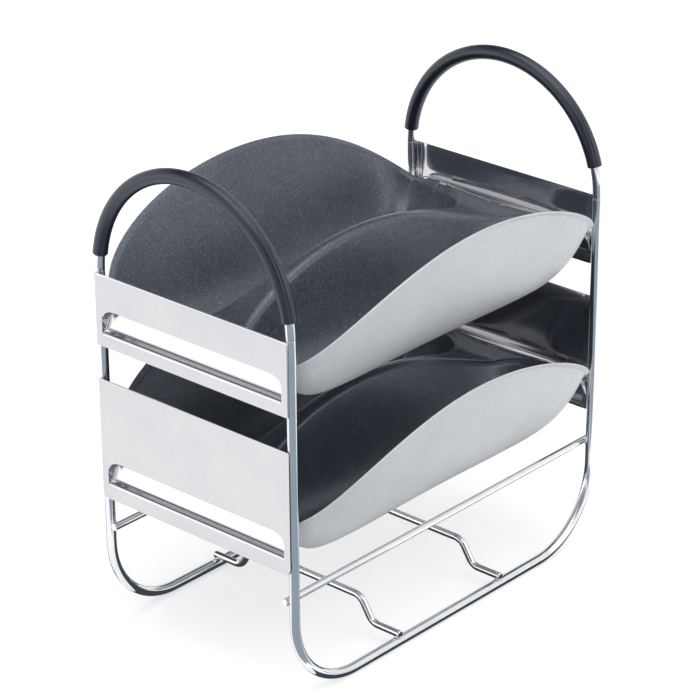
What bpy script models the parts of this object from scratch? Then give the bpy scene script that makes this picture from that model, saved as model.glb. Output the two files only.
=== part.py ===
"""Baguette rack: a bent-rod stand with two end panels at each end and two
double-trough baking trays that slide in from the side on the panels' ribs.

Metres, +Z up.  X runs across the rack (the trays slide along it), Y runs
along the troughs.  The origin is at floor level, in the middle of the rack.
"""
import math

import bpy
import bmesh
from mathutils import Vector

MM = 0.001

# ---------------------------------------------------------------- dimensions
ROD_R = 2.5 * MM              # frame rod, 5 mm diameter
WIRE_R = 1.9 * MM             # thin wires, 3.8 mm diameter
GAP = 0.3 * MM                # clearance between pieces that touch

POST_X = 62.5 * MM            # post axes, half spacing across the rack
POST_Y = 114.9 * MM           # post axes, half spacing along the rack
SKID_Z = ROD_R * math.cos(math.pi / 10)   # a flat of the ten-sided rod lies on the floor
BEND_R = 42.5 * MM            # bend between post and skid, at the rod's axis
ARCH_Z = 194.0 * MM           # where the posts end and the handle arch starts
ARCH_R = POST_X               # the handle is a half circle over two posts
SLEEVE_IN = 2.85 * MM         # soft sleeve on the handle
SLEEVE_OUT = 3.8 * MM
SLEEVE_SPANS = {-1: (8.0, 172.0),      # degrees of the arch under each sleeve,
                1: (15.0, 173.0)}      # from its +X foot: near, then far
SLEEVE_SIDES = 12

SIDE_WIRE_Z = 55.8 * MM       # long wires, welded inside the posts
SIDE_WIRE_HALF = 117.3 * MM
CROSS_WIRE_Y = 39.5 * MM      # cross wires lie on the skids
CROSS_WIRE_HALF = 64.0 * MM
CROSS_LOW_Z = SKID_Z + ROD_R + GAP + WIRE_R
CROSS_HIGH_Z = 19.5 * MM      # raised middle of a cross wire
KINK_OUT_X = 45.5 * MM
KINK_IN_X = 37.5 * MM
KINK_R = 7.0 * MM

SHEET = 0.6 * MM              # end panel thickness
PANEL_HALF = 63.2 * MM
PANEL_IN_Y = POST_Y + ROD_R + 0.25 * MM
UPPER_PANEL = (155.4 * MM, 193.6 * MM)
LOWER_PANEL = (72.1 * MM, 137.4 * MM)
UPPER_RIB_Z = 162.2 * MM      # lower edge of the upper panels' rib
TRAY_PITCH = 82.0 * MM        # one tray to the next
RIB_H = 13.6 * MM
RIB_FOLD = 1.2 * MM           # height of the rib's sloping lower face
RIB_FALL = 1.0 * MM           # the rib's shelf falls this much inwards
RIB_DEPTH = 7.2 * MM
RIB_FOOT = 0.58               # depth of the rib's foot, as a share of the top's
RIB_ROUND = 2.6 * MM          # the shelf's rounded shoulder
CORNER_R = 3.2 * MM           # lower panels' bottom corners
RIB_FLAT = 50.0 * MM          # half length before the rounded ends
RIB_END = 59.2 * MM           # half length at the ends

TRAY_T = 0.9 * MM             # tray wall
LIP_Z = 176.3 * MM            # top of the upper tray's end lips
LIP_Y = 112.0 * MM            # outer edge of the end lips
MOUTH_Y = 109.2 * MM          # bend line of the end lips
TROUGH_X = 40.0 * MM          # centre of a trough
LIP_A = 42.2 * MM             # trough centre to the side lip's outer edge
MOUTH_A = 39.8 * MM           # trough centre to the side wall's top
RIDGE_A = 36.0 * MM           # trough centre to the middle ridge
PLAN_P = 3.6                  # roundness of the outline
RIDGE_P = 3.0
SIDE_RISE = 40.5 * MM         # the side walls rise this much at mid length
SIDE_REACH = 108.0 * MM
RIDGE_RISE = 20.0 * MM        # the ridge rises this much at mid length
RIDGE_REACH = 96.0 * MM
TROUGH_DEPTH = 27.0 * MM      # end lip to trough floor, inside
FLOOR_HALF = 70.0 * MM        # half length of the level trough floor
LIP_FLARE = 1.7 * MM          # how far the side lips turn up

ROWS = 28                     # stations along a tray
WALL_STEPS = 6                # points down one trough wall
RIDGE_STEPS = 2
ROD_SIDES = 10


# ------------------------------------------------------------------ helpers
def clear_scene():
    for ob in list(bpy.data.objects):
        bpy.data.objects.remove(ob, do_unlink=True)


def material(name, colour, metallic, roughness):
    mat = bpy.data.materials.new(name)
    mat.use_nodes = True
    bsdf = mat.node_tree.nodes["Principled BSDF"]
    bsdf.inputs["Base Color"].default_value = (*colour, 1.0)
    bsdf.inputs["Metallic"].default_value = metallic
    bsdf.inputs["Roughness"].default_value = roughness
    mat.diffuse_color = (*colour, 1.0)
    return mat


def add_object(name, bm, mat, location=(0.0, 0.0, 0.0), sharp=40.0):
    mesh = bpy.data.meshes.new(name)
    bmesh.ops.recalc_face_normals(bm, faces=bm.faces[:])
    bm.to_mesh(mesh)
    bm.free()
    mesh.materials.append(mat)
    mesh.shade_smooth()
    mesh.set_sharp_from_angle(angle=math.radians(sharp))
    ob = bpy.data.objects.new(name, mesh)
    ob.location = location
    bpy.context.scene.collection.objects.link(ob)
    return ob


def frames(points):
    """Tangent, side and up vectors along a path, turned as little as possible."""
    pts = [Vector(p) for p in points]
    tangents = []
    for i, p in enumerate(pts):
        a = pts[max(i - 1, 0)]
        b = pts[min(i + 1, len(pts) - 1)]
        tangents.append((b - a).normalized())
    ref = Vector((0, 0, 1)) if abs(tangents[0].z) < 0.9 else Vector((1, 0, 0))
    side = tangents[0].cross(ref).normalized()
    out = []
    for i, t in enumerate(tangents):
        if i:
            side = (side - t * side.dot(t)).normalized()
        out.append((pts[i], t, side, t.cross(side)))
    # a joint between two straight runs is mitred: its ring is stretched
    return out


def ring(bm, centre, side, up, radius, sides, turn=0.5):
    verts = []
    for k in range(sides):
        a = 2.0 * math.pi * (k + turn) / sides
        off = side * (radius * math.cos(a)) + up * (radius * math.sin(a))
        verts.append(bm.verts.new(centre + off))
    return verts


def bridge(bm, a, b):
    n = len(a)
    for k in range(n):
        bm.faces.new((a[k], a[(k + 1) % n], b[(k + 1) % n], b[k]))


def rod(points, radius, sides=ROD_SIDES):
    """A solid round rod along a path, closed at both ends."""
    bm = bmesh.new()
    rings = [ring(bm, p, s, u, radius, sides) for p, t, s, u in frames(points)]
    for a, b in zip(rings, rings[1:]):
        bridge(bm, a, b)
    bm.faces.new(rings[0][::-1])
    bm.faces.new(rings[-1])
    return bm


def sleeve(points, r_in, r_out, sides=SLEEVE_SIDES):
    """A tube with an open bore along a path."""
    bm = bmesh.new()
    outer, inner = [], []
    for p, t, s, u in frames(points):
        outer.append(ring(bm, p, s, u, r_out, sides, 0.0))
        inner.append(ring(bm, p, s, u, r_in, sides, 0.0))
    for a, b in zip(outer, outer[1:]):
        bridge(bm, a, b)
    for a, b in zip(inner, inner[1:]):
        bridge(bm, b, a)
    bridge(bm, inner[0], outer[0])
    bridge(bm, outer[-1], inner[-1])
    return bm


def bent_path(corners, radii, steps):
    """Straight runs between corners, each inner corner rounded by an arc."""
    pts = [Vector(corners[0])]
    for i in range(1, len(corners) - 1):
        p = Vector(corners[i])
        d0 = (Vector(corners[i - 1]) - p).normalized()
        d1 = (Vector(corners[i + 1]) - p).normalized()
        half = 0.5 * math.acos(max(-1.0, min(1.0, d0.dot(d1))))
        r = radii[i - 1]
        centre = p + (d0 + d1).normalized() * (r / math.sin(half))
        reach = r / math.tan(half)
        a = p + d0 * reach - centre
        b = p + d1 * reach - centre
        turn = math.acos(max(-1.0, min(1.0, a.dot(b) / (r * r))))
        for k in range(steps + 1):
            w = k / steps
            pts.append(centre + (a * math.sin((1 - w) * turn)
                                 + b * math.sin(w * turn)) / math.sin(turn))
    pts.append(Vector(corners[-1]))
    return pts


# ------------------------------------------------------------------- frame
def side_rod(sx):
    """One rod: near post, bend, skid, bend, far post."""
    x = sx * POST_X
    top = ARCH_Z - 0.5 * GAP
    corners = [(x, -POST_Y, top), (x, -POST_Y, SKID_Z),
               (x, POST_Y, SKID_Z), (x, POST_Y, top)]
    return rod(bent_path(corners, (BEND_R, BEND_R), 9), ROD_R)


def arch_points(y, start, end, steps, leg=0.0):
    pts = []
    for k in range(steps + 1):
        a = math.radians(start + (end - start) * k / steps)
        pts.append(Vector((ARCH_R * math.cos(a), y,
                           ARCH_Z + 0.5 * GAP + ARCH_R * math.sin(a))))
    if leg:
        # a short straight piece keeps the rod's end square on the post
        pts.insert(1, pts[0] + Vector((0, 0, leg)))
        pts.insert(-1, pts[-1] + Vector((0, 0, leg)))
    return pts


def handle_rod(sy):
    return rod(arch_points(sy * POST_Y, 0.0, 180.0, 24, 0.8 * MM), ROD_R)


def handle_sleeve(sy):
    pts = arch_points(sy * POST_Y, *SLEEVE_SPANS[sy], 24)
    return sleeve(pts, SLEEVE_IN, SLEEVE_OUT)


def side_wire(sx):
    x = sx * (POST_X - ROD_R - WIRE_R - GAP)
    return rod([(x, -SIDE_WIRE_HALF, SIDE_WIRE_Z),
                (x, SIDE_WIRE_HALF, SIDE_WIRE_Z)], WIRE_R)


def cross_wire(sy):
    y = sy * CROSS_WIRE_Y
    corners = [(-CROSS_WIRE_HALF, y, CROSS_LOW_Z), (-KINK_OUT_X, y, CROSS_LOW_Z),
               (-KINK_IN_X, y, CROSS_HIGH_Z), (KINK_IN_X, y, CROSS_HIGH_Z),
               (KINK_OUT_X, y, CROSS_LOW_Z), (CROSS_WIRE_HALF, y, CROSS_LOW_Z)]
    return rod(bent_path(corners, (KINK_R,) * 4, 5), WIRE_R)


# ------------------------------------------------------------------ panels
def eased(corners, cuts, steps):
    """A 2-D outline whose inner corners are eased by short curves."""
    out = [Vector(corners[0])]
    for i in range(1, len(corners) - 1):
        a, p, b = (Vector(c) for c in corners[i - 1:i + 2])
        cut = min(cuts[i - 1], 0.46 * (a - p).length, 0.46 * (b - p).length)
        if steps[i - 1] == 0:
            out.append(p)
            continue
        s = p + (a - p).normalized() * cut
        e = p + (b - p).normalized() * cut
        for k in range(steps[i - 1] + 1):
            t = k / steps[i - 1]
            out.append(s * (1 - t) ** 2 + p * (2 * t * (1 - t)) + e * t ** 2)
    out.append(Vector(corners[-1]))
    return out


def end_panel(sy, z_low, z_high, rib_z, corner_r=0.0):
    """A thin sheet with a shelf-like rib pressed towards the trays."""
    bm = bmesh.new()
    outer_y = PANEL_IN_Y + SHEET
    xs = [PANEL_HALF]
    if corner_r:
        xs += [PANEL_HALF - corner_r * k for k in (0.28, 0.65)]
        xs.append(PANEL_HALF - corner_r)
    for t in (1.0, 0.97, 0.9, 0.78, 0.6, 0.35, 0.0):
        xs.append(RIB_FLAT + (RIB_END - RIB_FLAT) * t)
    xs = sorted(xs, reverse=True)
    xs = xs + [25.0 * MM, 0.0] + [-x for x in ([25.0 * MM] + xs[::-1])]
    columns = []
    for x in xs:
        t = min(1.0, max(0.0, (abs(x) - RIB_FLAT) / (RIB_END - RIB_FLAT)))
        height = RIB_H * (0.45 + 0.55 * (1.0 - t ** 2.4) ** (1 / 2.4))
        share = (1.0 - t ** 4) ** 0.25
        depth = RIB_DEPTH * share
        over = max(0.0, abs(x) - (PANEL_HALF - corner_r))
        low = z_low + corner_r - math.sqrt(max(0.0, corner_r ** 2 - over ** 2))
        profile = eased([(low, 0.0), (rib_z, 0.0),
                         (rib_z + RIB_FOLD * max(share, 0.02), RIB_FOOT * depth),
                         (rib_z + height - RIB_FALL * max(share, 0.02), depth),
                         (rib_z + height, 0.0), (z_high, 0.0)],
                        (0.0, 1.6 * MM, RIB_ROUND, 0.0), (0, 2, 4, 0))
        columns.append([bm.verts.new((x, sy * (outer_y - p.y), p.x))
                        for p in profile])
    for a, b in zip(columns, columns[1:]):
        for k in range(len(a) - 1):
            bm.faces.new((a[k], b[k], b[k + 1], a[k + 1]))
    # the sheet's other face lies towards the trays
    bmesh.ops.recalc_face_normals(bm, faces=bm.faces[:])
    out = Vector((0, sy, 0))
    if sum((f.normal.dot(out) * f.calc_area() for f in bm.faces)) < 0:
        bmesh.ops.reverse_faces(bm, faces=bm.faces[:])
    return bm


# ------------------------------------------------------------------- trays
def superellipse(y, half, p):
    return max(0.0, 1.0 - abs(y / half) ** p) ** (1.0 / p)


def rise(y, reach, power):
    return max(0.0, 1.0 - (y / reach) ** 2) ** power


def wall_curve(mouth, spine, inward, steps):
    """Points from a trough's mouth down its wall and out to the floor line."""
    drop = mouth.z - spine.z
    h0 = mouth + inward * (0.245 * drop) - Vector((0, 0, 0.63 * drop))
    h1 = spine + Vector((mouth.x - spine.x, mouth.y - spine.y, 0)) * 0.53
    pts = []
    for k in range(steps + 1):
        t = k / steps
        s = 1.0 - t
        pts.append(mouth * s ** 3 + h0 * (3 * s * s * t)
                   + h1 * (3 * s * t * t) + spine * t ** 3)
    return pts


def tray_row(phi):
    """One station of the tray's upper surface, from the middle ridge to the
    side lip, for +X.  phi runs from -90 to 90 degrees along the trough."""
    c, s = math.cos(phi), math.sin(phi)
    y = math.copysign(abs(s) ** (2.0 / PLAN_P), s) * MOUTH_Y
    end = abs(abs(phi) - 0.5 * math.pi) < 1e-6
    if end:
        y = math.copysign(MOUTH_Y, s)
    side = 0.0 if end else superellipse(y, MOUTH_Y, PLAN_P)
    ridge = 0.0 if end else superellipse(y, MOUTH_Y, RIDGE_P)
    z_side = SIDE_RISE * rise(y, SIDE_REACH, 0.8)
    z_ridge = RIDGE_RISE * rise(y, RIDGE_REACH, 1.3)
    outer = Vector((TROUGH_X + MOUTH_A * side, y, z_side))
    inner = Vector((TROUGH_X - RIDGE_A * ridge, y, z_ridge))
    spine = Vector((TROUGH_X, FLOOR_HALF * y / MOUTH_Y, -TROUGH_DEPTH))

    def inward(v, sign, reach, p):
        gx = sign * (abs(v.x - TROUGH_X) / reach) ** (p - 1) / reach
        gy = math.copysign((abs(v.y) / MOUTH_Y) ** (p - 1) / MOUTH_Y, v.y)
        return -Vector((gx, gy, 0)).normalized()

    down_in = wall_curve(inner, spine, inward(inner, -1, RIDGE_A, RIDGE_P),
                         WALL_STEPS)
    down_out = wall_curve(outer, spine, inward(outer, 1, MOUTH_A, PLAN_P),
                          WALL_STEPS)
    crown = 1.2 * MM * rise(y, RIDGE_REACH, 1.0)
    row = [Vector((inner.x * k / RIDGE_STEPS, y,
                   inner.z + crown * (1 - (k / RIDGE_STEPS) ** 2)))
           for k in range(RIDGE_STEPS)]
    row += down_in + down_out[-2::-1]
    lip_side = 0.0 if end else superellipse(y * LIP_Y / MOUTH_Y, LIP_Y, PLAN_P)
    flare = LIP_FLARE * c ** 0.8 if not end else 0.0
    row.append(Vector((TROUGH_X + LIP_A * lip_side, y * LIP_Y / MOUTH_Y,
                       z_side + flare)))
    return row


def tray():
    bm = bmesh.new()
    rows = [tray_row(math.pi * (j / ROWS - 0.5)) for j in range(ROWS + 1)]
    for sx in (1, -1):
        grid = [[bm.verts.new((sx * p.x, p.y, p.z)) for p in row] for row in rows]
        for a, b in zip(grid, grid[1:]):
            for k in range(len(a) - 1):
                bm.faces.new((a[k], a[k + 1], b[k + 1], b[k]))
        for g, sy in ((grid[0], -1), (grid[-1], 1)):
            edge = [bm.verts.new((g[k].co.x, sy * LIP_Y, g[k].co.z))
                    for k in range(RIDGE_STEPS + 1)]
            for k in range(RIDGE_STEPS):
                bm.faces.new((g[k], g[k + 1], edge[k + 1], edge[k]))
    bmesh.ops.remove_doubles(bm, verts=bm.verts[:], dist=0.02 * MM)
    bmesh.ops.dissolve_degenerate(bm, edges=bm.edges[:], dist=0.01 * MM)
    bmesh.ops.recalc_face_normals(bm, faces=bm.faces[:])
    if sum(f.normal.z * f.calc_area() for f in bm.faces) < 0:
        bmesh.ops.reverse_faces(bm, faces=bm.faces[:])
    return bm


def add_sheet(name, bm, mat, thickness, location=(0, 0, 0), sharp=40.0):
    """A sheet surface, given its thickness away from its own normals."""
    mesh = bpy.data.meshes.new(name)
    bm.to_mesh(mesh)
    bm.free()
    mesh.materials.append(mat)
    mesh.shade_smooth()
    mesh.set_sharp_from_angle(angle=math.radians(sharp))
    ob = bpy.data.objects.new(name, mesh)
    ob.location = location
    bpy.context.scene.collection.objects.link(ob)
    solid = ob.modifiers.new("Thickness", "SOLIDIFY")
    solid.thickness = thickness
    solid.offset = -1.0
    solid.use_even_offset = True
    solid.thickness_clamp = 1.0
    solid.use_rim = True
    return ob


# ------------------------------------------------------------------- build
def main():
    clear_scene()
    chrome = material("chrome_rod", (0.78, 0.80, 0.83), 1.0, 0.12)
    wire = material("chrome_wire", (0.80, 0.81, 0.84), 1.0, 0.14)
    steel = material("stainless_panel", (0.72, 0.72, 0.74), 1.0, 0.18)
    rubber = material("handle_sleeve", (0.025, 0.028, 0.035), 0.0, 0.45)
    coat = material("tray_coating", (0.50, 0.52, 0.54), 0.35, 0.42)

    for sx, name in ((1, "right"), (-1, "left")):
        add_object(name + "_side_rod", side_rod(sx), chrome)
        add_object(name + "_side_wire", side_wire(sx), wire)
    for sy, name in ((-1, "near"), (1, "far")):
        add_object(name + "_cross_wire", cross_wire(sy), wire)
        add_object(name + "_handle_rod", handle_rod(sy), chrome)
        add_object(name + "_handle_sleeve", handle_sleeve(sy), rubber)
        add_sheet(name + "_upper_panel",
                  end_panel(sy, *UPPER_PANEL, UPPER_RIB_Z), steel, SHEET)
        add_sheet(name + "_lower_panel",
                  end_panel(sy, *LOWER_PANEL, UPPER_RIB_Z - TRAY_PITCH,
                            CORNER_R), steel, SHEET)
    add_sheet("upper_tray", tray(), coat, TRAY_T, (0, 0, LIP_Z))
    add_sheet("lower_tray", tray(), coat, TRAY_T, (0, 0, LIP_Z - TRAY_PITCH))


main()
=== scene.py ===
import math

import bpy
import bmesh
from mathutils import Matrix, Vector


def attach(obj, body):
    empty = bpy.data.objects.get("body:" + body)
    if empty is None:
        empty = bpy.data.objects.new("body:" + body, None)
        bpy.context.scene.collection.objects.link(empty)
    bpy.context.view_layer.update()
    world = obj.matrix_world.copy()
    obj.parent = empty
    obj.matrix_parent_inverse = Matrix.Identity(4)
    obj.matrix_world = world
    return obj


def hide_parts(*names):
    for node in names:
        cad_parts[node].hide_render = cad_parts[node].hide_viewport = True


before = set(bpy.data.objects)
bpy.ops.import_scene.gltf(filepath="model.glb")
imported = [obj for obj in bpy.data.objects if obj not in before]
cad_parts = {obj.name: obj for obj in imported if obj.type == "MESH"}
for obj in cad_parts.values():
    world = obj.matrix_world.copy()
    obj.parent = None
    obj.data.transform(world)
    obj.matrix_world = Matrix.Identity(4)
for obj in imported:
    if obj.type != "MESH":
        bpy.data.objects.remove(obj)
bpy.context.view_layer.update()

MM = 0.001

# ------------------------------------------------------------------ sizes
# The same driving dimensions as the frame's, so each fine piece lies where
# its CAD node does.
ROD_R = 2.5 * MM
WIRE_R = 1.9 * MM
POST_X = 62.5 * MM
POST_Y = 114.9 * MM
SKID_Z = ROD_R
BEND_R = 42.5 * MM
ARCH_Z = 194.0 * MM
ARCH_R = POST_X
SLEEVE_IN = 2.53 * MM
SLEEVE_OUT = 3.8 * MM
SLEEVE_SPANS = {-1: (8.0, 172.0), 1: (15.3, 173.2)}
SIDE_WIRE_Z = 55.8 * MM
SIDE_WIRE_HALF = 117.3 * MM
SIDE_WIRE_X = POST_X - ROD_R - WIRE_R
CROSS_WIRE_Y = 39.5 * MM
CROSS_WIRE_HALF = 64.0 * MM
CROSS_LOW_Z = SKID_Z + ROD_R + WIRE_R
CROSS_HIGH_Z = 19.5 * MM
KINK_OUT_X = 45.5 * MM
KINK_IN_X = 37.5 * MM
KINK_R = 7.0 * MM

SHEET = 0.6 * MM
PANEL_HALF = 63.2 * MM
PANEL_IN_Y = POST_Y + ROD_R + 0.25 * MM
UPPER_PANEL = (155.4 * MM, 193.6 * MM)
LOWER_PANEL = (72.1 * MM, 137.4 * MM)
UPPER_RIB_Z = 162.2 * MM
TRAY_PITCH = 82.0 * MM
RIB_H = 13.6 * MM
RIB_DEPTH = 7.2 * MM
RIB_FLAT = 50.0 * MM
RIB_END = 59.2 * MM

TRAY_T = 0.9 * MM
LIP_Z = 176.3 * MM
LIP_Y = 112.0 * MM
MOUTH_Y = 109.2 * MM
TROUGH_X = 40.0 * MM
LIP_A = 42.2 * MM
MOUTH_A = 39.8 * MM
RIDGE_A = 36.0 * MM
PLAN_P = 3.6
RIDGE_P = 3.0
SIDE_RISE = 40.5 * MM
SIDE_REACH = 108.0 * MM
RIDGE_RISE = 20.0 * MM
RIDGE_REACH = 96.0 * MM
TROUGH_DEPTH = 27.0 * MM
FLOOR_HALF = 70.0 * MM
LIP_FLARE = 1.7 * MM


# ------------------------------------------------------------- node helpers
class Nodes:
    """A small writer for one material's node tree."""

    def __init__(self, name):
        self.mat = bpy.data.materials.new(name)
        self.mat.use_nodes = True
        self.nt = self.mat.node_tree
        self.nt.nodes.clear()
        self.out = self.nt.nodes.new("ShaderNodeOutputMaterial")
        self.bsdf = self.nt.nodes.new("ShaderNodeBsdfPrincipled")
        self.nt.links.new(self.bsdf.outputs[0], self.out.inputs[0])
        self.coord = self.nt.nodes.new("ShaderNodeTexCoord")

    def link(self, a, b):
        self.nt.links.new(a, b)

    def put(self, name, value):
        """A constant, or a node's output, on a socket of the shader."""
        socket = self.bsdf.inputs[name]
        if isinstance(value, bpy.types.NodeSocket):
            self.link(value, socket)
        else:
            socket.default_value = value

    def mapped(self, source, scale, rotation=(0, 0, 0), location=(0, 0, 0)):
        n = self.nt.nodes.new("ShaderNodeMapping")
        n.inputs["Scale"].default_value = scale
        n.inputs["Rotation"].default_value = rotation
        n.inputs["Location"].default_value = location
        self.link(self.coord.outputs[source], n.inputs["Vector"])
        return n.outputs[0]

    def noise(self, vector, scale, detail=3.0, rough=0.55, distortion=0.0):
        n = self.nt.nodes.new("ShaderNodeTexNoise")
        n.inputs["Scale"].default_value = scale
        n.inputs["Detail"].default_value = detail
        n.inputs["Roughness"].default_value = rough
        n.inputs["Distortion"].default_value = distortion
        self.link(vector, n.inputs["Vector"])
        return n.outputs["Fac"]

    def cells(self, vector, scale, feature="F1", rand=1.0):
        n = self.nt.nodes.new("ShaderNodeTexVoronoi")
        n.feature = feature
        n.inputs["Scale"].default_value = scale
        n.inputs["Randomness"].default_value = rand
        self.link(vector, n.inputs["Vector"])
        return n.outputs["Distance"]

    def spread(self, value, a, b, c, d):
        """value's range a..b becomes c..d, clamped."""
        n = self.nt.nodes.new("ShaderNodeMapRange")
        n.clamp = True
        self.link(value, n.inputs["Value"])
        for key, v in (("From Min", a), ("From Max", b),
                       ("To Min", c), ("To Max", d)):
            n.inputs[key].default_value = v
        return n.outputs["Result"]

    def math(self, kind, a, b=None, c=None):
        n = self.nt.nodes.new("ShaderNodeMath")
        n.operation = kind
        for i, v in enumerate((a, b, c)):
            if v is None:
                continue
            if isinstance(v, bpy.types.NodeSocket):
                self.link(v, n.inputs[i])
            else:
                n.inputs[i].default_value = v
        return n.outputs[0]

    def blend(self, fac, a, b, kind="MIX"):
        n = self.nt.nodes.new("ShaderNodeMix")
        n.data_type = "RGBA"
        n.blend_type = kind
        for key, v in ((0, fac), (6, a), (7, b)):
            if isinstance(v, bpy.types.NodeSocket):
                self.link(v, n.inputs[key])
            elif key == 0:
                n.inputs[key].default_value = v
            else:
                n.inputs[key].default_value = (*v, 1.0)
        return n.outputs[2]

    def part(self, source, axis):
        n = self.nt.nodes.new("ShaderNodeSeparateXYZ")
        self.link(self.coord.outputs[source], n.inputs[0])
        return n.outputs[axis]

    def bump(self, height, distance, strength=1.0, under=None):
        n = self.nt.nodes.new("ShaderNodeBump")
        n.inputs["Strength"].default_value = strength
        n.inputs["Distance"].default_value = distance
        self.link(height, n.inputs["Height"])
        if under is not None:
            self.link(under, n.inputs["Normal"])
        return n.outputs[0]


# --------------------------------------------------------------- materials
def chrome_finish(name, dark, light, rough_low, rough_high, draw):
    """Plated steel rod: faint die lines along its length, slight haze."""
    m = Nodes(name)
    along = m.mapped("UV", (draw, 0.035, 1.0))
    lines = m.noise(along, 1.0, 4.0, 0.6)
    haze = m.noise(m.mapped("Object", (1, 1, 1)), 55.0, 4.0, 0.6)
    specks = m.cells(m.mapped("Object", (1, 1, 1)), 420.0)
    tint = m.blend(m.spread(haze, 0.3, 0.7, 0.0, 1.0), dark, light)
    spots = m.spread(specks, 0.02, 0.11, 1.0, 0.0)
    tint = m.blend(m.math("MULTIPLY", spots, 0.22), tint,
                   (0.33, 0.34, 0.36))
    streak = m.spread(lines, 0.35, 0.65, 0.0, 1.0)
    tint = m.blend(m.math("MULTIPLY", streak, 0.10), tint,
                   (0.50, 0.53, 0.57))
    m.put("Base Color", tint)
    m.put("Metallic", 1.0)
    rough = m.spread(haze, 0.3, 0.7, rough_low, rough_high)
    rough = m.math("ADD", rough, m.math("MULTIPLY", streak, 0.03))
    m.put("Roughness", rough)
    m.put("Normal", m.bump(lines, 0.000012, 0.55,
                           m.bump(haze, 0.00006, 0.35)))
    return m.mat


def stainless_finish():
    """Bright rolled sheet: nearly a mirror, with a faint grain along X."""
    m = Nodes("stainless_sheet")
    grain = m.noise(m.mapped("Object", (60.0, 900.0, 2600.0)), 1.0, 3.0, 0.6)
    cloud = m.noise(m.mapped("Object", (1, 1, 1)), 38.0, 3.0, 0.55)
    fine = m.noise(m.mapped("Object", (1, 1, 1)), 900.0, 2.0, 0.6)
    wave = m.noise(m.mapped("Object", (1, 1, 1)), 16.0, 1.0, 0.4)
    scuff = m.noise(m.mapped("Object", (40.0, 40.0, 700.0),
                             (0.0, 0.35, 0.0)), 1.0, 2.0, 0.4)
    tint = m.blend(m.spread(cloud, 0.3, 0.7, 0.0, 1.0),
                   (0.618, 0.618, 0.640), (0.660, 0.658, 0.674))
    tint = m.blend(m.spread(grain, 0.35, 0.75, 0.0, 0.16), tint,
                   (0.52, 0.53, 0.56))
    tint = m.blend(m.spread(scuff, 0.72, 0.80, 0.0, 0.10), tint,
                   (0.85, 0.86, 0.88))
    m.put("Base Color", tint)
    m.put("Metallic", 1.0)
    rough = m.spread(cloud, 0.3, 0.7, 0.085, 0.125)
    rough = m.math("ADD", rough, m.spread(grain, 0.3, 0.7, 0.0, 0.035))
    rough = m.math("ADD", rough, m.spread(scuff, 0.70, 0.80, 0.0, 0.06))
    m.put("Roughness", rough)
    m.put("Normal", m.bump(grain, 0.0000025, 0.4,
                           m.bump(wave, 0.00020, 0.32,
                                  m.bump(fine, 0.0000025, 0.3))))
    return m.mat


def sleeve_finish():
    """Black extruded rubber: satin, with a fine skin, lengthwise pull streaks and
    pale dust specks.
    """
    m = Nodes("black_rubber")
    skin = m.noise(m.mapped("Object", (1, 1, 1)), 2400.0, 4.0, 0.65)
    pull = m.noise(m.mapped("UV", (1.6, 0.06, 1.0)), 1.0, 3.0, 0.6)
    patch = m.noise(m.mapped("Object", (1, 1, 1)), 70.0, 3.0, 0.6)
    dust = m.cells(m.mapped("Object", (1, 1, 1)), 900.0)
    tint = m.blend(m.spread(patch, 0.3, 0.7, 0.0, 1.0),
                   (0.0050, 0.0060, 0.0100), (0.0095, 0.0112, 0.0175))
    tint = m.blend(m.spread(pull, 0.45, 0.75, 0.0, 0.35), tint,
                   (0.016, 0.019, 0.028))
    tint = m.blend(m.spread(dust, 0.02, 0.10, 0.35, 0.0), tint,
                   (0.085, 0.090, 0.100))
    m.put("Base Color", tint)
    m.put("Specular IOR Level", 0.74)
    m.put("Specular Tint", (0.76, 0.84, 1.0, 1.0))
    m.put("Roughness", m.math("ADD", m.spread(patch, 0.3, 0.7, 0.27, 0.34),
                              m.spread(skin, 0.3, 0.7, -0.03, 0.05)))
    m.put("Normal", m.bump(skin, 0.00005, 0.55,
                           m.bump(pull, 0.00008, 0.5)))
    return m.mat


def tray_outside():
    """Silver-grey baked coating, finely speckled, with light rubbing."""
    m = Nodes("tray_outside_coating")
    o = m.mapped("Object", (1, 1, 1))
    speck = m.noise(o, 1050.0, 2.0, 0.7)
    fleck = m.cells(o, 800.0)
    cloud = m.noise(o, 26.0, 4.0, 0.6)
    rub = m.noise(m.mapped("Object", (260.0, 14.0, 420.0),
                           (0.10, 0.0, 0.0)), 1.0, 3.0, 0.5)
    fall = m.noise(m.mapped("Object", (14.0, 60.0, 9.0)), 1.0, 3.0, 0.5)
    tint = m.blend(m.spread(cloud, 0.3, 0.7, 0.0, 1.0),
                   (0.508, 0.522, 0.538), (0.578, 0.592, 0.606))
    tint = m.blend(m.spread(speck, 0.40, 0.62, 0.30, 0.0), tint,
                   (0.36, 0.375, 0.395))
    tint = m.blend(m.spread(speck, 0.60, 0.72, 0.0, 0.40), tint,
                   (0.72, 0.74, 0.75))
    tint = m.blend(m.spread(fleck, 0.03, 0.11, 0.30, 0.0), tint,
                   (0.22, 0.23, 0.25))
    tint = m.blend(m.spread(rub, 0.66, 0.74, 0.0, 0.30), tint,
                   (0.70, 0.715, 0.72))
    tint = m.blend(m.spread(fall, 0.62, 0.80, 0.0, 0.18), tint,
                   (0.40, 0.42, 0.44))
    m.put("Base Color", tint)
    m.put("Metallic", 0.30)
    m.put("Roughness", m.math("ADD", m.spread(cloud, 0.3, 0.7, 0.40, 0.50),
                              m.spread(speck, 0.35, 0.7, 0.05, -0.05)))
    m.put("Normal", m.bump(speck, 0.00004, 0.5,
                           m.bump(fleck, 0.00002, 0.3)))
    return m.mat


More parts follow.
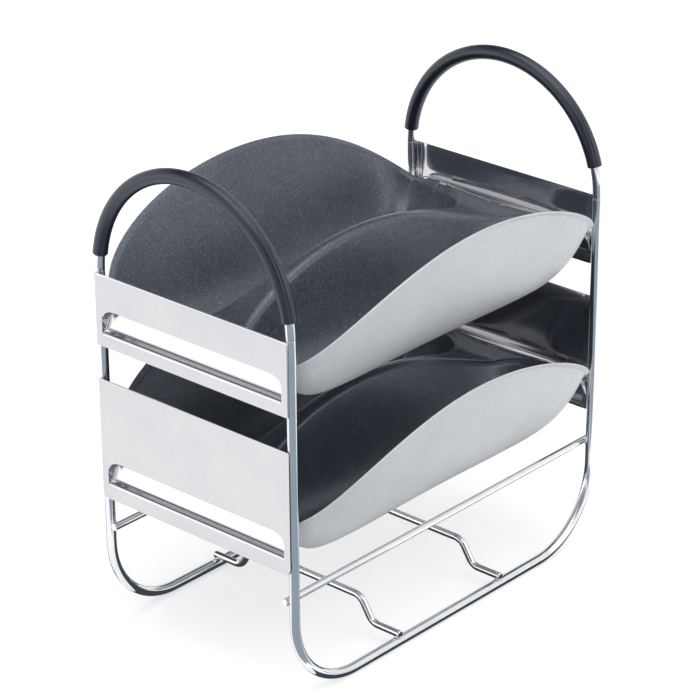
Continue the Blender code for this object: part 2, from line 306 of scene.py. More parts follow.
def tray_inside():
    """Dark grey non-stick coating with a fine pale fleck."""
    m = Nodes("tray_inside_nonstick")
    o = m.mapped("Object", (1, 1, 1))
    speck = m.noise(o, 1500.0, 2.0, 0.7)
    fleck = m.cells(o, 1200.0)
    cloud = m.noise(o, 30.0, 4.0, 0.6)
    wear = m.noise(m.mapped("Object", (420.0, 24.0, 300.0)), 1.0, 3.0, 0.5)
    tint = m.blend(m.spread(cloud, 0.3, 0.7, 0.0, 1.0),
                   (0.040, 0.048, 0.064), (0.058, 0.067, 0.088))
    tint = m.blend(m.spread(speck, 0.54, 0.66, 0.0, 0.75), tint,
                   (0.205, 0.220, 0.250))
    tint = m.blend(m.spread(speck, 0.34, 0.46, 0.45, 0.0), tint,
                   (0.020, 0.022, 0.030))
    tint = m.blend(m.spread(fleck, 0.04, 0.16, 0.45, 0.0), tint,
                   (0.30, 0.31, 0.33))
    tint = m.blend(m.spread(wear, 0.66, 0.76, 0.0, 0.25), tint,
                   (0.13, 0.14, 0.155))
    m.put("Base Color", tint)
    m.put("Metallic", 0.15)
    m.put("Specular IOR Level", 0.80)
    m.put("Specular Tint", (0.84, 0.92, 1.0, 1.0))
    m.put("Roughness", m.math("ADD", m.spread(cloud, 0.3, 0.7, 0.26, 0.33),
                              m.spread(speck, 0.35, 0.7, 0.04, -0.05)))
    m.put("Normal", m.bump(speck, 0.00004, 0.5,
                           m.bump(wear, 0.00002, 0.3)))
    return m.mat


def weld_finish():
    """Small resistance welds: duller, slightly straw-tinted metal."""
    m = Nodes("weld_metal")
    o = m.mapped("Object", (1, 1, 1))
    grit = m.noise(o, 1300.0, 3.0, 0.6)
    cloud = m.noise(o, 260.0, 3.0, 0.6)
    tint = m.blend(m.spread(cloud, 0.35, 0.65, 0.0, 1.0),
                   (0.56, 0.57, 0.60), (0.72, 0.71, 0.70))
    m.put("Base Color", tint)
    m.put("Metallic", 1.0)
    m.put("Roughness", m.spread(grit, 0.3, 0.7, 0.24, 0.36))
    m.put("Normal", m.bump(grit, 0.00006, 0.7))
    return m.mat


def floor_finish():
    m = Nodes("studio_floor")
    o = m.mapped("Object", (1, 1, 1))
    cloud = m.noise(o, 2.0, 2.0, 0.5)
    m.put("Base Color", m.blend(m.spread(cloud, 0.3, 0.7, 0.0, 1.0),
                                (0.550, 0.550, 0.551), (0.562, 0.562, 0.563)))
    m.put("Emission Color", (1.0, 1.0, 1.0, 1.0))
    m.put("Emission Strength", 0.58)
    m.put("Roughness", 0.75)
    m.put("Specular IOR Level", 0.2)
    return m.mat


# ------------------------------------------------------------ mesh helpers
def publish(name, verts, faces, mats, uvs=None, smooth=True, indices=None):
    mesh = bpy.data.meshes.new(name)
    mesh.from_pydata([tuple(v) for v in verts], [], faces)
    for mat in mats:
        mesh.materials.append(mat)
    if indices is not None:
        mesh.polygons.foreach_set("material_index", indices)
    if uvs is not None:
        layer = mesh.uv_layers.new(name="UVMap")
        flat = [c for face in uvs for uv in face for c in uv]
        layer.data.foreach_set("uv", flat)
    if smooth:
        mesh.shade_smooth()
    mesh.update()
    mesh.validate()
    ob = bpy.data.objects.new(name, mesh)
    bpy.context.scene.collection.objects.link(ob)
    return ob


def settle(ob):
    """Applies the modifiers, so that the mesh is final."""
    dg = bpy.context.evaluated_depsgraph_get()
    done = bpy.data.meshes.new_from_object(ob.evaluated_get(dg))
    done.name = ob.name
    ob.modifiers.clear()
    ob.data = done
    return ob


def hand_over(ob, body, node):
    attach(ob, body)
    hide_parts(node)
    return ob


def planar_frames(points, normal):
    """Tangent, side and up along a path that lies in a plane."""
    pts = [Vector(p) for p in points]
    n = Vector(normal).normalized()
    out = []
    for i, p in enumerate(pts):
        a, b = pts[max(i - 1, 0)], pts[min(i + 1, len(pts) - 1)]
        t = (b - a).normalized()
        out.append((p, t, n, t.cross(n)))
    return out


def end_rounding(radius, round_r, steps=4):
    """(distance from the end, radius) pairs for a rounded rod end."""
    pairs = []
    for k in range(steps + 1):
        a = 0.5 * math.pi * k / steps
        pairs.append((round_r * (1 - math.sin(a)),
                      radius - round_r * (1 - math.cos(a))))
    return pairs[::-1]      # from the end face inwards


def rod_piece(name, points, normal, radius, mat, sides=36, round_r=0.35 * MM,
              dome=0.0):
    """A solid round rod with softly rounded ends."""
    fr = planar_frames(points, normal)
    rings = []
    p, t, s, u = fr[0]
    length = 0.0
    for off, r in end_rounding(radius, round_r):
        rings.append((p + t * off, s, u, r, off))
    for i in range(1, len(fr) - 1):
        q, tt, ss, uu = fr[i]
        length += (q - fr[i - 1][0]).length
        rings.append((q, ss, uu, radius, length))
    length += (fr[-1][0] - fr[-2][0]).length
    p, t, s, u = fr[-1]
    for off, r in end_rounding(radius, round_r)[::-1]:
        rings.append((p - t * off, s, u, r, length - off))
    verts, faces, uvs = [], [], []
    for c, s, u, r, _ in rings:
        for k in range(sides):
            a = 2 * math.pi * k / sides
            verts.append(c + s * (r * math.cos(a)) + u * (r * math.sin(a)))
    around = 2 * math.pi * radius / MM
    for i in range(len(rings) - 1):
        v0, v1 = rings[i][4] / MM, rings[i + 1][4] / MM
        for k in range(sides):
            k2 = (k + 1) % sides
            faces.append((i * sides + k, (i + 1) * sides + k,
                          (i + 1) * sides + k2, i * sides + k2))
            u0, u1 = around * k / sides, around * (k + 1) / sides
            uvs.append(((u0, v0), (u0, v1), (u1, v1), (u1, v0)))
    # the end faces: a centre point, set out a little where the end is domed
    last = (len(rings) - 1) * sides
    centre0 = fr[0][0] - fr[0][1] * dome
    centre1 = fr[-1][0] + fr[-1][1] * dome
    c0, c1 = len(verts), len(verts) + 1
    verts += [centre0, centre1]
    for k in range(sides):
        k2 = (k + 1) % sides
        faces.append((c0, k, k2))
        faces.append((c1, last + k2, last + k))
        uvs.append(((0, 0), (0.1, 0), (0, 0.1)))
        uvs.append(((0, 0), (0.1, 0), (0, 0.1)))
    ob = publish(name, verts, faces, [mat], uvs)
    fix_normals(ob)
    ob.data.set_sharp_from_angle(angle=math.radians(50))
    return ob


def fix_normals(ob):
    bm = bmesh.new()
    bm.from_mesh(ob.data)
    bmesh.ops.recalc_face_normals(bm, faces=bm.faces[:])
    bm.to_mesh(ob.data)
    bm.free()
    ob.data.update()


def bent_path(corners, radii, steps, straight=6.0 * MM):
    """Straight runs with rounded corners, and points along the runs."""
    pts = [Vector(corners[0])]

    def run_to(q):
        p = pts[-1].copy()
        n = max(1, int(round((q - p).length / straight)))
        for k in range(1, n + 1):
            pts.append(p.lerp(q, k / n))

    for i in range(1, len(corners) - 1):
        p = Vector(corners[i])
        d0 = (Vector(corners[i - 1]) - p).normalized()
        d1 = (Vector(corners[i + 1]) - p).normalized()
        half = 0.5 * math.acos(max(-1.0, min(1.0, d0.dot(d1))))
        r = radii[i - 1]
        centre = p + (d0 + d1).normalized() * (r / math.sin(half))
        reach = r / math.tan(half)
        a = p + d0 * reach - centre
        b = p + d1 * reach - centre
        turn = math.acos(max(-1.0, min(1.0, a.dot(b) / (r * r))))
        run_to(centre + a)
        for k in range(1, steps + 1):
            w = k / steps
            pts.append(centre + (a * math.sin((1 - w) * turn)
                                 + b * math.sin(w * turn)) / math.sin(turn))
    run_to(Vector(corners[-1]))
    return pts


# ------------------------------------------------------------------- rods
def make_side_rod(name, sx, mat):
    x = sx * POST_X
    corners = [(x, -POST_Y, ARCH_Z), (x, -POST_Y, SKID_Z),
               (x, POST_Y, SKID_Z), (x, POST_Y, ARCH_Z)]
    pts = bent_path(corners, (BEND_R, BEND_R), 30)
    ob = rod_piece(name + "_side_rod_fine", pts, (1, 0, 0), ROD_R, mat, 40,
                   0.12 * MM)
    hand_over(ob, "rack", name + "_side_rod")


def arch(y, start, end, steps):
    return [Vector((ARCH_R * math.cos(a), y, ARCH_Z + ARCH_R * math.sin(a)))
            for a in (math.radians(start + (end - start) * k / steps)
                      for k in range(steps + 1))]


def make_handle(name, sy, rod_mat, sleeve_mat):
    y = sy * POST_Y
    ob = rod_piece(name + "_handle_rod_fine", arch(y, 0.0, 180.0, 90),
                   (0, 1, 0), ROD_R, rod_mat, 40, 0.12 * MM)
    hand_over(ob, "rack", name + "_handle_rod")
    # the sleeve: a tube over the arch, its ends rounded over, and a moulding
    # line along its outer face
    sides, steps = 144, 120
    start, end = SLEEVE_SPANS[sy]
    pts = arch(y, start, end, steps)
    fr = planar_frames(pts, (0, 1, 0))
    total = math.radians(end - start) * ARCH_R
    stations = []
    end_r = 0.62 * MM
    for k in range(7):              # rounded lip at the first end
        a = 0.5 * math.pi * k / 6
        stations.append((end_r * (1 - math.sin(a)),
                         SLEEVE_OUT - end_r * (1 - math.cos(a))))
    stations = stations[::-1]
    profile = [(d, r) for d, r in stations]
    verts, faces, uvs, rows = [], [], [], []

    def station(dist, radius, bore=False):
        w = max(0.0, min(1.0, dist / total)) * steps
        i = min(int(w), steps - 1)
        f = w - i
        p = fr[i][0].lerp(fr[i + 1][0], f)
        t = fr[i][1].lerp(fr[i + 1][1], f).normalized()
        n = Vector((0, 1, 0))
        up = t.cross(n)
        row = []
        for k in range(sides):
            a = 2 * math.pi * k / sides
            r = radius
            if not bore:
                # slightly slimmer within 9 mm of each end
                edge = min(dist, total - dist)
                r += 0.0 if edge > 9 * MM else -0.05 * MM * math.sin(
                    math.pi * min(1.0, edge / (9 * MM)))
                gap = (a - seam_angle(dist) + math.pi) % (2 * math.pi) - math.pi
                r -= 0.34 * MM * math.exp(-(gap / 0.10) ** 2)
                r += 0.07 * MM * math.exp(-((gap + 0.26) / 0.13) ** 2)
            row.append(p + n * (r * math.cos(a)) + up * (r * math.sin(a)))
        return row

    def seam_angle(dist):
        # the line winds a little round the sleeve
        part = min(1.0, dist / (0.5 * total))
        turn = part * part * (3.0 - 2.0 * part)
        return math.radians(-124.0 + 38.0 * turn
                            + 4.0 * math.sin(2.2 * math.pi * dist / total))

    for d, r in profile:
        rows.append((d, station(d, r)))
    n_mid = 150
    for k in range(1, n_mid):
        d = end_r + (total - 2 * end_r) * k / n_mid
        rows.append((d, station(d, SLEEVE_OUT)))
    for d, r in profile[::-1]:
        rows.append((total - d, station(total - d, r)))
    bore = []
    for k in range(0, 61):
        d = total * (1 - k / 60)
        bore.append((d, station(d, SLEEVE_IN, True)))
    allrows = rows + bore
    for d, row in allrows:
        verts += row
    n = len(allrows)
    around = 2 * math.pi * SLEEVE_OUT / MM
    for i in range(n):
        j = (i + 1) % n
        for k in range(sides):
            k2 = (k + 1) % sides
            faces.append((i * sides + k, j * sides + k,
                          j * sides + k2, i * sides + k2))
            u0, u1 = around * k / sides, around * (k + 1) / sides
            v0, v1 = allrows[i][0] / MM, allrows[j][0] / MM
            uvs.append(((u0, v0), (u0, v1), (u1, v1), (u1, v0)))
    ob = publish(name + "_handle_sleeve_fine", verts, faces, [sleeve_mat], uvs)
    fix_normals(ob)
    ob.data.set_sharp_from_angle(angle=math.radians(60))
    hand_over(ob, "rack", name + "_handle_sleeve")


def make_side_wire(name, sx, mat):
    x = sx * SIDE_WIRE_X
    n = 40
    pts = [(x, -SIDE_WIRE_HALF + 2 * SIDE_WIRE_HALF * k / n, SIDE_WIRE_Z)
           for k in range(n + 1)]
    ob = rod_piece(name + "_side_wire_fine", pts, (1, 0, 0), WIRE_R, mat, 32,
                   0.4 * MM)
    hand_over(ob, "rack", name + "_side_wire")


def make_cross_wire(name, sy, mat):
    y = sy * CROSS_WIRE_Y
    corners = [(-CROSS_WIRE_HALF, y, CROSS_LOW_Z), (-KINK_OUT_X, y, CROSS_LOW_Z),
               (-KINK_IN_X, y, CROSS_HIGH_Z), (KINK_IN_X, y, CROSS_HIGH_Z),
               (KINK_OUT_X, y, CROSS_LOW_Z), (CROSS_WIRE_HALF, y, CROSS_LOW_Z)]
    pts = bent_path(corners, (KINK_R,) * 4, 18, 3.0 * MM)
    ob = rod_piece(name + "_cross_wire_fine", pts, (0, 1, 0), WIRE_R, mat, 32,
                   0.4 * MM)
    hand_over(ob, "rack", name + "_cross_wire")


# ------------------------------------------------------------------ panels
def rounded(corners, cuts, segs):
    """A 2-D polyline whose inner corners are eased by short curves."""
    out = [corners[0]]
    for i in range(1, len(corners) - 1):
        a, p, b = (Vector(c) for c in corners[i - 1:i + 2])
        la, lb = (a - p).length, (b - p).length
        c = min(cuts[i - 1], 0.46 * la, 0.46 * lb)
        s = p + (a - p).normalized() * c if la > 1e-9 else p.copy()
        e = p + (b - p).normalized() * c if lb > 1e-9 else p.copy()
        n = segs[i - 1]
        for k in range(n + 1):
            t = k / n
            out.append(tuple(s * (1 - t) ** 2 + p * (2 * t * (1 - t)) + e * t * t))
    out.append(corners[-1])
    return out


def make_panel(name, sy, z_low, z_high, rib_z, corner_r, mat):
    outer_y = PANEL_IN_Y + SHEET
    ts = [math.sin(0.5 * math.pi * k / 26) ** 0.5 if k else 0.0
          for k in range(27)]
    half = []
    for k in range(9):                       # the plain strip at the end
        a = 0.5 * math.pi * k / 8
        half.append(PANEL_HALF - 3.0 * MM * (1 - math.cos(a)) * (k > 0))
    half = sorted(set([PANEL_HALF - corner_r * (1 - math.sin(0.5 * math.pi * k / 10))
                       for k in range(11)] + [RIB_END + 0.02 * MM]
                      if corner_r else
                      [PANEL_HALF, 62.0 * MM, 60.6 * MM, RIB_END + 0.02 * MM]),
                  reverse=True)
    half = [x for x in half if x >= RIB_END]
    half += [RIB_FLAT + (RIB_END - RIB_FLAT) * t for t in ts[::-1]]
    half += [RIB_FLAT * (1 - k / 12) for k in range(1, 12)]
    xs = half + [0.0] + [-x for x in half[::-1]]
    rows = []
    for x in xs:
        ax = abs(x)
        t = min(1.0, max(0.0, (ax - RIB_FLAT) / (RIB_END - RIB_FLAT)))
        height = RIB_H * (0.45 + 0.55 * max(0.0, 1.0 - t ** 2.4) ** (1 / 2.4))
        depth = RIB_DEPTH * max(0.0, 1.0 - t ** 4) ** 0.25
        share = depth / RIB_DEPTH
        low = z_low
        if corner_r and ax > PANEL_HALF - corner_r:
            over = ax - (PANEL_HALF - corner_r)
            low = z_low + corner_r - math.sqrt(max(0.0, corner_r ** 2 - over ** 2))
        corners = [(low, 0.0), (rib_z + 0.5 * MM * share, 0.0),
                   (rib_z + 1.6 * MM * share, depth * RIB_FOOT),
                   (rib_z + height - 0.45 * MM * share, depth),
                   (rib_z + height - 0.9 * MM * share, 0.0), (z_high, 0.0)]
        prof = rounded(corners, (1.8 * MM, 2.0 * MM, 2.6 * MM, 1.3 * MM),
                       (10, 8, 12, 6))
        # a few points on the plain faces keep the grid even
        first, last = prof[0], prof[-1]
        prof = ([first]
                + [(first[0] + (prof[1][0] - first[0]) * k / 3, 0.0)
                   for k in (1, 2)]
                + prof[1:-1]
                + [(prof[-2][0] + (last[0] - prof[-2][0]) * k / 5, 0.0)
                   for k in (1, 2, 3, 4)]
                + [last])
        rows.append([(x, sy * (outer_y - d), z) for z, d in prof])
    m = len(rows[0])
    verts = [v for row in rows for v in row]
    faces = []
    for i in range(len(rows) - 1):
        for k in range(m - 1):
            faces.append((i * m + k, (i + 1) * m + k,
                          (i + 1) * m + k + 1, i * m + k + 1))
    ob = publish(name, verts, faces, [mat])
    bm = bmesh.new()
    bm.from_mesh(ob.data)
    bmesh.ops.remove_doubles(bm, verts=bm.verts[:], dist=0.004 * MM)
    bmesh.ops.recalc_face_normals(bm, faces=bm.faces[:])
    if sum(f.normal.y * sy * f.calc_area() for f in bm.faces) < 0:
        bmesh.ops.reverse_faces(bm, faces=bm.faces[:])
    bm.to_mesh(ob.data)
    bm.free()
    ob.data.shade_smooth()
    solid = ob.modifiers.new("Thickness", "SOLIDIFY")
    solid.thickness = SHEET
    solid.offset = -1.0
    solid.use_even_offset = True
    solid.thickness_clamp = 1.0
    solid.use_rim = True
    edge = ob.modifiers.new("Edge", "BEVEL")
    edge.width = 0.11 * MM
    edge.segments = 2
    edge.limit_method = "ANGLE"
    edge.angle_limit = math.radians(62)
    edge.use_clamp_overlap = True
    settle(ob)
    ob.data.shade_smooth()
    ob.data.set_sharp_from_angle(angle=math.radians(48))
    return ob


RIB_FOOT = 0.50       # depth of the rib's lower edge, as a share of its top's


# ------------------------------------------------------------------- trays
def superellipse(y, half, p):
    return max(0.0, 1.0 - abs(y / half) ** p) ** (1.0 / p)


def rise(y, reach, power):
    return max(0.0, 1.0 - (y / reach) ** 2) ** power


def wall_point(mouth, spine, inward, t):
    drop = mouth.z - spine.z
    h0 = mouth + inward * (0.245 * drop) - Vector((0, 0, 0.63 * drop))
    h1 = spine + Vector((mouth.x - spine.x, mouth.y - spine.y, 0)) * 0.53
    s = 1.0 - t
    return (mouth * s ** 3 + h0 * (3 * s * s * t)
            + h1 * (3 * s * t * t) + spine * t ** 3)


def tray_stations():
    """Rows along the trough: even in the middle, closing in at the ends."""
    e0, n_end, n_mid = 0.70, 30, 84
    ends = []
    for k in range(1, n_end + 1):
        e = e0 * (1 - k / n_end)
        ends.append((1.0 - e ** PLAN_P) ** (1.0 / PLAN_P) * MOUTH_Y)
    y0 = (1.0 - e0 ** PLAN_P) ** (1.0 / PLAN_P) * MOUTH_Y
    mid = [y0 * (2 * k / n_mid - 1) for k in range(n_mid + 1)]
    return [-y for y in ends[::-1]] + mid + ends


def tray_row_fine(y, end):
    """One row of the tray's upper surface for +X, ridge to side lip."""
    side = 0.0 if end else superellipse(y, MOUTH_Y, PLAN_P)
    ridge = 0.0 if end else superellipse(y, MOUTH_Y, RIDGE_P)
    z_side = SIDE_RISE * rise(y, SIDE_REACH, 0.8)
    z_ridge = RIDGE_RISE * rise(y, RIDGE_REACH, 1.3)
    outer = Vector((TROUGH_X + MOUTH_A * side, y, z_side))
    inner = Vector((TROUGH_X - RIDGE_A * ridge, y, z_ridge))
    spine = Vector((TROUGH_X, FLOOR_HALF * y / MOUTH_Y, -TROUGH_DEPTH))

    def inward(v, sign, reach, p):
        gx = sign * (abs(v.x - TROUGH_X) / reach) ** (p - 1) / reach
        gy = math.copysign((abs(v.y) / MOUTH_Y) ** (p - 1) / MOUTH_Y, v.y)
        return -Vector((gx, gy, 0)).normalized()

    crown = 1.2 * MM * rise(y, RIDGE_REACH, 1.0)
    n_in = inward(inner, -1, RIDGE_A, RIDGE_P)
    n_out = inward(outer, 1, MOUTH_A, PLAN_P)
    lip_side = 0.0 if end else superellipse(y * LIP_Y / MOUTH_Y, LIP_Y, PLAN_P)
    cosphi = superellipse(y, MOUTH_Y, PLAN_P) ** (PLAN_P / 2)
    flare = 0.0 if end else LIP_FLARE * cosphi ** 0.8
    lip = Vector((TROUGH_X + LIP_A * lip_side, y * LIP_Y / MOUTH_Y,
                  z_side + flare))

    def eased(mouth, spine_, n, away, cut_wall, steps, wall_steps):
        """Down the wall from an eased edge: away is on the land or lip."""
        drop = mouth.z - spine_.z
        t_cut = min(0.25, cut_wall / (2.4 * drop))
        s = away
        e = wall_point(mouth, spine_, n, t_cut)
        pts = []
        for k in range(steps + 1):
            t = k / steps
            pts.append(s * (1 - t) ** 2 + mouth * (2 * t * (1 - t)) + e * t * t)
        for k in range(1, wall_steps + 1):
            t = t_cut + (1 - t_cut) * k / wall_steps
            pts.append(wall_point(mouth, spine_, n, t))
        return pts

    f_in = min(RIDGE_EASE_END + (RIDGE_EASE - RIDGE_EASE_END) * min(1.0, ridge * 1.5),
               0.47 * max(inner.x, 2.0 * MM))
    away_in = inner - n_in * f_in
    away_in.x = max(away_in.x, 0.45 * inner.x)
    k_in = max(0.0, min(1.0, away_in.x / max(inner.x, 1e-9)))
    away_in.z = inner.z + crown * (1 - k_in ** 2)
    closing = 1.0 - min(1.0, side * 1.5)
    f_out = LIP_EASE + (LIP_EASE_END - LIP_EASE) * closing
    w = lip - outer
    away_out = outer + w * min(0.45 + 0.25 * closing,
                               f_out / max(w.length, 1e-9))
    down_in = eased(inner, spine, n_in, away_in, f_in * 1.15, 7, 20)
    down_out = eased(outer, spine, n_out, away_out,
                     f_out * (1.0 + 0.9 * closing), 7, 24)
    row = []
    n_land = 8
    for k in range(n_land):
        t = k / n_land
        p = Vector((away_in.x * t, y + (away_in.y - y) * t, 0))
        kk = p.x / max(inner.x, 1e-9)
        p.z = inner.z + crown * (1 - min(1.0, kk) ** 2)
        row.append(p)
    row += down_in + down_out[-2::-1]
    for k in (1, 2, 3):
        row.append(away_out.lerp(lip, k / 3))
    return row, n_land


RIDGE_EASE = 3.2 * MM
RIDGE_EASE_END = 3.8 * MM
LIP_EASE = 0.8 * MM
LIP_EASE_END = 2.0 * MM


def tray_mesh(name, base_z, inside, outside):
    ys = tray_stations()
    verts, faces = [], []
    for sx in (1, -1):
        grid = []
        n_land = 0
        for j, y in enumerate(ys):
            row, n_land = tray_row_fine(y, j in (0, len(ys) - 1))
            start = len(verts)
            verts += [Vector((sx * p.x, p.y, p.z + base_z)) for p in row]
            grid.append(list(range(start, len(verts))))
        for a, b in zip(grid, grid[1:]):
            for k in range(len(a) - 1):
                faces.append((a[k], a[k + 1], b[k + 1], b[k]))
        for g, sy in ((grid[0], -1), (grid[-1], 1)):
            prev = g[:n_land + 1]
            for step in (1, 2, 3):
                start = len(verts)
                for i in g[:n_land + 1]:
                    p = verts[i]
                    verts.append(Vector((p.x, p.y + (sy * LIP_Y - p.y) * step / 3,
                                         p.z)))
                cur = list(range(start, len(verts)))
                for k in range(n_land):
                    faces.append((prev[k], prev[k + 1], cur[k + 1], cur[k]))
                prev = cur
    ob = publish(name, verts, faces, [inside, outside])
    bm = bmesh.new()
    bm.from_mesh(ob.data)
    bmesh.ops.remove_doubles(bm, verts=bm.verts[:], dist=0.02 * MM)
    bmesh.ops.dissolve_degenerate(bm, edges=bm.edges[:], dist=0.008 * MM)
    bmesh.ops.recalc_face_normals(bm, faces=bm.faces[:])
    if sum(f.normal.z * f.calc_area() for f in bm.faces) < 0:
        bmesh.ops.reverse_faces(bm, faces=bm.faces[:])
    bm.to_mesh(ob.data)
    bm.free()
    ob.data.shade_smooth()
    solid = ob.modifiers.new("Thickness", "SOLIDIFY")
    solid.thickness = TRAY_T
    solid.offset = -1.0
    solid.use_even_offset = False
    solid.use_rim = True
    solid.material_offset = 1
    solid.material_offset_rim = 1
    edge = ob.modifiers.new("Edge", "BEVEL")
    edge.width = 0.26 * MM
    edge.segments = 3
    edge.limit_method = "ANGLE"
    edge.angle_limit = math.radians(62)
    edge.use_clamp_overlap = True
    settle(ob)
    ob.data.shade_smooth()
    return ob


# ------------------------------------------------------------------- welds
def bead(name, centre, axis, long_r, wide_r, high_r, mat, body="rack"):
    """A small squeezed weld between two round pieces."""
    bm = bmesh.new()
    bmesh.ops.create_uvsphere(bm, u_segments=20, v_segments=12, radius=1.0)
    z = Vector((0, 0, 1))
    rot = z.rotation_difference(Vector(axis).normalized()).to_matrix()
    for v in bm.verts:
        a = math.atan2(v.co.y, v.co.x)
        k = 1.0 + 0.06 * math.sin(3 * a + 0.7) + 0.04 * math.sin(5 * v.co.z + a)
        p = Vector((v.co.x * wide_r * k, v.co.y * high_r * k, v.co.z * long_r))
        v.co = rot @ p + Vector(centre)
    mesh = bpy.data.meshes.new(name)
    bm.to_mesh(mesh)
    bm.free()
    mesh.materials.append(mat)
    mesh.shade_smooth()
    ob = bpy.data.objects.new(name, mesh)
    bpy.context.scene.collection.objects.link(ob)
    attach(ob, body)
    return ob


# ------------------------------------------------------------------- build
CHROME = chrome_finish("chrome_rod_plating", (0.80, 0.82, 0.85),
                       (0.88, 0.895, 0.915), 0.07, 0.12, 1.4)
WIRE = chrome_finish("chrome_wire_plating", (0.84, 0.85, 0.87),
                     (0.91, 0.92, 0.93), 0.03, 0.06, 1.9)
STEEL = stainless_finish()
RUBBER = sleeve_finish()
OUTSIDE = tray_outside()
INSIDE = tray_inside()
WELD = weld_finish()

for sx, side in ((1, "right"), (-1, "left")):
    make_side_rod(side, sx, CHROME)
    make_side_wire(side, sx, WIRE)
for sy, end in ((-1, "near"), (1, "far")):
    make_handle(end, sy, CHROME, RUBBER)
    make_cross_wire(end, sy, WIRE)
    ob = make_panel(end + "_upper_panel_fine", sy, *UPPER_PANEL, UPPER_RIB_Z,
                    0.0, STEEL)
    hand_over(ob, "rack", end + "_upper_panel")
    ob = make_panel(end + "_lower_panel_fine", sy, *LOWER_PANEL,
                    UPPER_RIB_Z - TRAY_PITCH, 3.2 * MM, STEEL)
    hand_over(ob, "rack", end + "_lower_panel")
for name, z in (("upper", LIP_Z), ("lower", LIP_Z - TRAY_PITCH)):
    ob = tray_mesh(name + "_tray_fine", z, INSIDE, OUTSIDE)
    hand_over(ob, name + "_tray", name + "_tray")

# welds: cross wires on the skids, side wires on the posts
for sx, side in ((1, "right"), (-1, "left")):
    for sy, end in ((-1, "near"), (1, "far")):
        bead("weld_skid_" + side + "_" + end,
             (sx * POST_X, sy * CROSS_WIRE_Y, SKID_Z + ROD_R),
             (0, 0, 1), 0.8 * MM, 2.0 * MM, 2.0 * MM, WELD)
        bead("weld_post_" + side + "_" + end,
             (sx * (POST_X - ROD_R), sy * POST_Y, SIDE_WIRE_Z),
             (1, 0, 0), 0.8 * MM, 2.0 * MM, 2.0 * MM, WELD)

# ------------------------------------------------------------------- stage
bm = bmesh.new()
bmesh.ops.create_grid(bm, x_segments=1, y_segments=1, size=9.0)
mesh = bpy.data.meshes.new("floor")
bm.to_mesh(mesh)
bm.free()
floor = bpy.data.objects.new("floor", mesh)
floor.location = (0, 0, -0.0004)
mesh.materials.append(floor_finish())
bpy.context.scene.collection.objects.link(floor)


def card(name, corners, colour, strength=1.0):
    """A studio card that shows only in reflections."""
    mesh = bpy.data.meshes.new(name)
    mesh.from_pydata(corners, [], [tuple(range(len(corners)))])
    mat = bpy.data.materials.new(name)
    mat.use_nodes = True
    nt = mat.node_tree
    nt.nodes.clear()
    out = nt.nodes.new("ShaderNodeOutputMaterial")
    em = nt.nodes.new("ShaderNodeEmission")
    em.inputs["Color"].default_value = (*colour, 1.0)
    em.inputs["Strength"].default_value = strength
    nt.links.new(em.outputs[0], out.inputs[0])
    mat.cycles.emission_sampling = "NONE"
    mesh.materials.append(mat)
    ob = bpy.data.objects.new(name, mesh)
    bpy.context.scene.collection.objects.link(ob)
    ob.visible_camera = False
    ob.visible_diffuse = False
    ob.visible_shadow = False
    ob.visible_transmission = False
    ob.visible_volume_scatter = False
    return ob


card("grey_card_low", [(0.085, -0.10, 0.0), (0.10, 0.02, 0.0), (0.26, 0.10, 0.0),
                       (1.2, 0.42, 0.0), (1.2, -1.3, 0.0), (-0.48, -1.3, 0.0),
                       (0.03, -0.15, 0.0)],
     (0.32, 0.37, 0.43))
card("under_card", [(0.078, -0.10, -0.0001), (0.078, 0.16, -0.0001),
                    (-0.078, 0.16, -0.0001), (-0.078, -0.10, -0.0001)],
     (0.05, 0.06, 0.075))
card("left_card", [(-0.080, -0.12, -0.0001), (-0.080, 0.12, -0.0001),
                   (-0.26, 0.12, -0.0001), (-0.26, -0.12, -0.0001)],
     (0.06, 0.07, 0.085))
card("front_card", [(0.28, -1.72, 0.20), (1.62, -0.50, 0.20),
                    (1.62, -0.50, 1.30), (0.28, -1.72, 1.30)],
     (0.26, 0.28, 0.32))
card("softbox", [(-0.45, -1.30, -0.02), (-1.10, -0.72, -0.02),
                 (-1.10, -0.72, 0.60), (-0.45, -1.30, 0.60)],
     (1.0, 1.0, 1.0), 1.7)


def area(name, location, aim, size, energy, colour=(1, 1, 1), size_y=None):
    light = bpy.data.lights.new(name, "AREA")
    light.shape = "RECTANGLE"
    light.size = size
    light.size_y = size_y or size
    light.energy = energy
    light.color = colour
    ob = bpy.data.objects.new(name, light)
    ob.location = location
    d = Vector(aim) - Vector(location)
    ob.rotation_mode = "QUATERNION"
    ob.rotation_quaternion = d.to_track_quat("-Z", "Y")
    bpy.context.scene.collection.objects.link(ob)
    ob.visible_camera = False
    return ob


area("overhead", (0.15, -0.15, 1.5), (0, 0, 0.1), 1.5, 10.0)
area("side_fill", (1.5, 0.55, 0.9), (0, 0, 0.12), 0.9, 3.0)

world = bpy.data.worlds.new("studio")
bpy.context.scene.world = world
world.use_nodes = True
nt = world.node_tree
nt.nodes.clear()
out = nt.nodes.new("ShaderNodeOutputWorld")
bg = nt.nodes.new("ShaderNodeBackground")
tc = nt.nodes.new("ShaderNodeTexCoord")
nt.links.new(bg.outputs[0], out.inputs[0])


def world_math(kind, a, b=None, c=None):
    n = nt.nodes.new("ShaderNodeMath")
    n.operation = kind
    for i, v in enumerate((a, b, c)):
        if v is None:
            continue
        if isinstance(v, bpy.types.NodeSocket):
            nt.links.new(v, n.inputs[i])
        else:
            n.inputs[i].default_value = v
    return n.outputs[0]


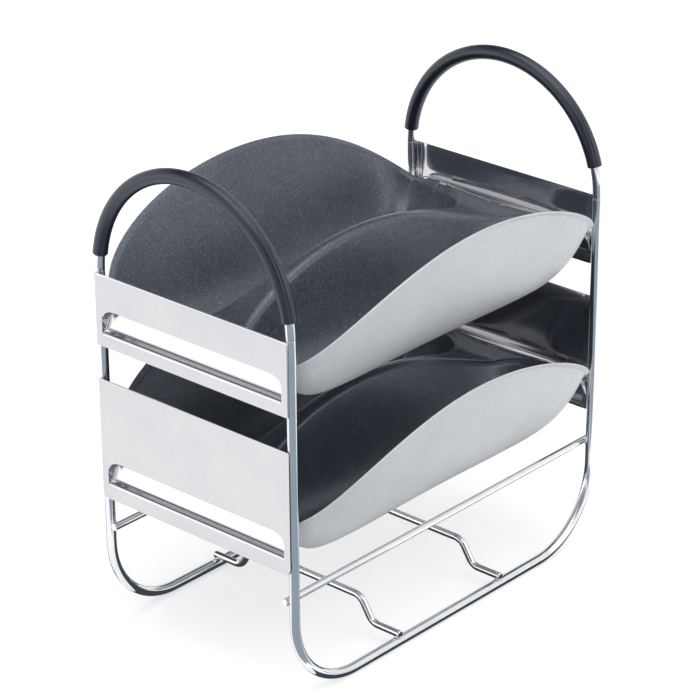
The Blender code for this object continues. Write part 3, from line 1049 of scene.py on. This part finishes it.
def soft_spot(direction, width):
    """1 in a direction, falling to 0 at that many degrees from it."""
    d = Vector(direction).normalized()
    n = nt.nodes.new("ShaderNodeVectorMath")
    n.operation = "DOT_PRODUCT"
    nt.links.new(tc.outputs["Generated"], n.inputs[0])
    n.inputs[1].default_value = d
    r = nt.nodes.new("ShaderNodeMapRange")
    r.interpolation_type = "SMOOTHSTEP"
    nt.links.new(n.outputs["Value"], r.inputs["Value"])
    r.inputs["From Min"].default_value = math.cos(math.radians(width))
    r.inputs["From Max"].default_value = math.cos(math.radians(width * 0.55))
    return r.outputs["Result"]


def toward(azimuth, elevation):
    a, e = math.radians(azimuth), math.radians(elevation)
    return (math.cos(a) * math.cos(e), math.sin(a) * math.cos(e), math.sin(e))


level = 1.0
dark = None
for az, el, w, k in ((122, 34, 24, 1.0), (150, 42, 23, 1.0),
                     (180, 45, 22, 0.95), (205, 46, 17, 0.92),
                     (226, 50, 13, 0.85)):
    s = world_math("MULTIPLY", soft_spot(toward(az, el), w), k)
    dark = s if dark is None else world_math("MAXIMUM", dark, s)
value = world_math("SUBTRACT", 1.0, dark)
mix = nt.nodes.new("ShaderNodeMix")
mix.data_type = "RGBA"
mix.inputs[6].default_value = (0.040, 0.050, 0.070, 1.0)
mix.inputs[7].default_value = (1.0, 1.0, 1.0, 1.0)
nt.links.new(value, mix.inputs[0])
nt.links.new(mix.outputs[2], bg.inputs["Color"])
bg.inputs["Strength"].default_value = 0.95

# ------------------------------------------------------------------ camera
cam_data = bpy.data.cameras.new("camera")
cam_data.lens = 158.18
cam_data.sensor_width = 36.0
cam_data.clip_start = 0.05
cam_data.clip_end = 60.0
cam = bpy.data.objects.new("camera", cam_data)
right = Vector((0.74681, 0.66501, -0.00580)).normalized()
back = Vector((0.60566, -0.67650, 0.41898)).normalized()
up = back.cross(right).normalized()
right = up.cross(back).normalized()
m = Matrix((right, up, back)).transposed().to_4x4()
m.translation = Vector((0.93599, -1.04994, 0.77923))
cam.matrix_world = m
bpy.context.scene.collection.objects.link(cam)
bpy.context.scene.camera = cam

scene = bpy.context.scene
scene.view_settings.view_transform = "Standard"
